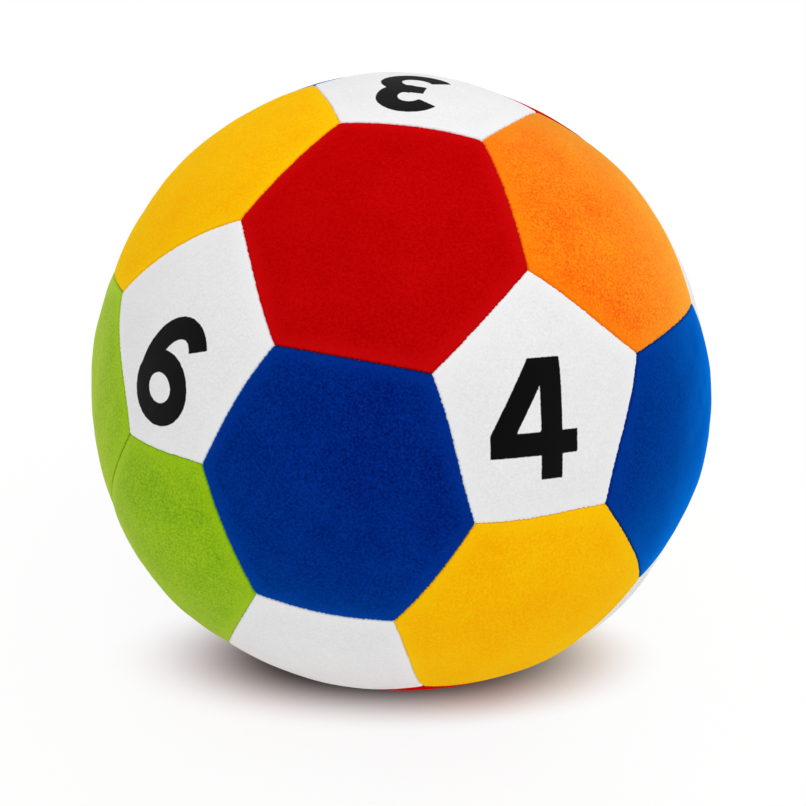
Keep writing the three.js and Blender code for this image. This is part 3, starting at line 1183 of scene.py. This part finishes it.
class PLUSHBALL_OT_stage(bpy.types.Operator):
    """Make the pale floor, the soft light and the camera"""

    bl_idname = "plushball.stage"
    bl_label = "Stage"

    def execute(self, context):
        stage = context.scene.plush_ball_stage
        self.lay_floor(stage)
        self.hang_lights(stage)
        self.set_world(context, stage)
        self.aim_camera(context, stage)
        return {"FINISHED"}

    def lay_floor(self, stage):
        bm = bmesh.new()
        bmesh.ops.create_grid(bm, x_segments=1, y_segments=1, size=FLOOR_REACH)
        bmesh.ops.translate(bm, verts=bm.verts[:], vec=(0, 0, -FLOOR_DROP))
        mesh = mesh_of(bm, "floor")
        material, tree, shader = fresh_material("floor_paper")
        make_matt(shader)
        self.whiten_floor_with_painted_shadow(tree, shader, stage)
        mesh.materials.append(material)
        floor = add_object("floor", mesh)

    def whiten_floor_with_painted_shadow(self, tree, shader, stage):
        """The camera sees the floor white, but for a painted shadow oval by the ball's foot, where the
        floor's own shading, its real cast shadow included, shows, with a painted bounce of the plush's
        colour on its right.
        """
        place = place_on_piece(tree)
        oval = node(tree, "ShaderNodeMapping", Vector=place, Location=stage.foot, Scale=stage.foot_reach)
        oval.vector_type = "TEXTURE"
        oval.inputs["Rotation"].default_value = (0, 0, stage.foot_turn)
        outwards = node(tree, "ShaderNodeVectorMath", oval.outputs[0])
        outwards.operation = "LENGTH"
        # clear runs from 0 in the painted shadow oval to 1 on the plain floor
        clear = ranged(tree, outwards.outputs["Value"], *SHADOW_OVAL_FADE, smooth=True)
        # Painted shadow: the floor's colour turns dark inside the oval
        shadowed_floor_colour = shade_between(tree, clear, (*stage.painted_shadow_colour, 1), (*stage.floor, 1))
        tree.links.new(shadowed_floor_colour, shader.inputs["Base Color"])
        # Painted bounce light: the floor's white glow takes the plush's colour on the right of the oval
        sideways = node(tree, "ShaderNodeSeparateXYZ", Vector=oval.outputs[0]).outputs["X"]
        bounce_share = ranged(tree, sideways, *PAINTED_BOUNCE_SPAN, smooth=True)
        glow = shade_between(tree, bounce_share, WHITE, (*stage.painted_bounce_colour, 1))
        light = shade_between(tree, clear, glow, WHITE)
        white = node(tree, "ShaderNodeEmission", Color=light, Strength=1.0)
        glare = maths(tree, "MULTIPLY", clear, FLOOR_GLARE)
        seen = maths(tree, "MULTIPLY", glare, sees_background(tree))
        mix = node(tree, "ShaderNodeMixShader", seen, shader.outputs[0], white.outputs[0])
        output = next(item for item in tree.nodes if item.bl_idname == "ShaderNodeOutputMaterial")
        tree.links.new(mix.outputs[0], output.inputs[0])

    def hang_lights(self, stage):
        for name, angles in LAMPS.items():
            lift, turn, width = (math.radians(angle) for angle in angles)
            light = bpy.data.lights.new(name, "SUN")
            light.energy = getattr(stage, name) * math.pi
            light.angle = width
            lamp = add_object(name, light)
            way = way_out(lift, turn)
            lamp.rotation_mode = "QUATERNION"
            lamp.rotation_quaternion = way.to_track_quat("Z", "Y")
            lamp.location = way

    def set_world(self, context, stage):
        world = bpy.data.worlds.new("studio")
        world.use_nodes = True
        tree = world.node_tree
        tree.nodes.clear()
        lit = node(tree, "ShaderNodeBackground", Color=WHITE, Strength=stage.sky)
        seen = node(tree, "ShaderNodeBackground", Color=WHITE, Strength=1.0)
        mix = node(tree, "ShaderNodeMixShader", sees_background(tree), lit.outputs[0], seen.outputs[0])
        node(tree, "ShaderNodeOutputWorld", mix.outputs[0])
        context.scene.world = world

    def aim_camera(self, context, stage):
        sizes = context.scene.plush_ball_sizes
        back = way_out(stage.elevation, stage.azimuth)
        right = Vector((0, 0, 1)).cross(back).normalized()
        up = back.cross(right)
        cos, sin = math.cos(stage.lean), math.sin(stage.lean)
        right, up = right * cos + up * sin, up * cos - right * sin
        distances = stage.distance / sizes.ball_radius
        focal = stage.ball_reach * math.sqrt(distances**2 - 1)  # in pixels
        camera = bpy.data.cameras.new("camera")
        camera.sensor_width = 36
        camera.lens = focal / PHOTO_SIDE * camera.sensor_width
        camera.clip_start = 0.01
        camera.clip_end = 20
        rig = add_object("camera", camera)
        centre = Vector((0, 0, CENTRE_HEIGHT))
        eye = centre + back * stage.distance
        sideways = (PHOTO_SIDE / 2 - stage.ball_x) / focal * stage.distance
        upwards = (stage.ball_y - PHOTO_SIDE / 2) / focal * stage.distance
        aim = centre + right * sideways + up * upwards
        ahead = (eye - aim).normalized()
        side = up.cross(ahead).normalized()
        top = ahead.cross(side)
        rig.matrix_world = Matrix.Translation(eye) @ Matrix((side, top, ahead)).transposed().to_4x4()
        context.scene.camera = rig
        context.scene.view_settings.view_transform = "Standard"


class PLUSHBALL_PT_sidebar(bpy.types.Panel):
    """The ball's sizes, colours and steps"""

    bl_label = "Plush Ball"
    bl_idname = "PLUSHBALL_PT_sidebar"
    bl_space_type = "VIEW_3D"
    bl_region_type = "UI"
    bl_category = "Plush Ball"

    def draw(self, context):
        for group in (
            context.scene.plush_ball_sizes,
            context.scene.plush_ball_colours,
            context.scene.plush_ball_stage,
        ):
            box = self.layout.box()
            for name in group.__annotations__:
                box.prop(group, name)
        for operator in OPERATORS:
            self.layout.operator(operator.bl_idname)


OPERATORS = (PLUSHBALL_OT_filling, PLUSHBALL_OT_panels, PLUSHBALL_OT_stitches, PLUSHBALL_OT_stage)
GROUPS = {
    "plush_ball_sizes": BallSizes,
    "plush_ball_colours": BallColours,
    "plush_ball_stage": BallStage,
}


def register():
    for name, group in GROUPS.items():
        bpy.utils.register_class(group)
        setattr(bpy.types.Scene, name, PointerProperty(type=group))
    for kind in (*OPERATORS, PLUSHBALL_PT_sidebar):
        bpy.utils.register_class(kind)


def unregister():
    for kind in (PLUSHBALL_PT_sidebar, *reversed(OPERATORS)):
        bpy.utils.unregister_class(kind)
    for name, group in reversed(GROUPS.items()):
        delattr(bpy.types.Scene, name)
        bpy.utils.unregister_class(group)


def main():
    register()
    bpy.ops.plushball.filling()
    bpy.ops.plushball.panels()
    bpy.ops.plushball.stitches()
    bpy.ops.plushball.stage()


if __name__ == "__main__":
    main()
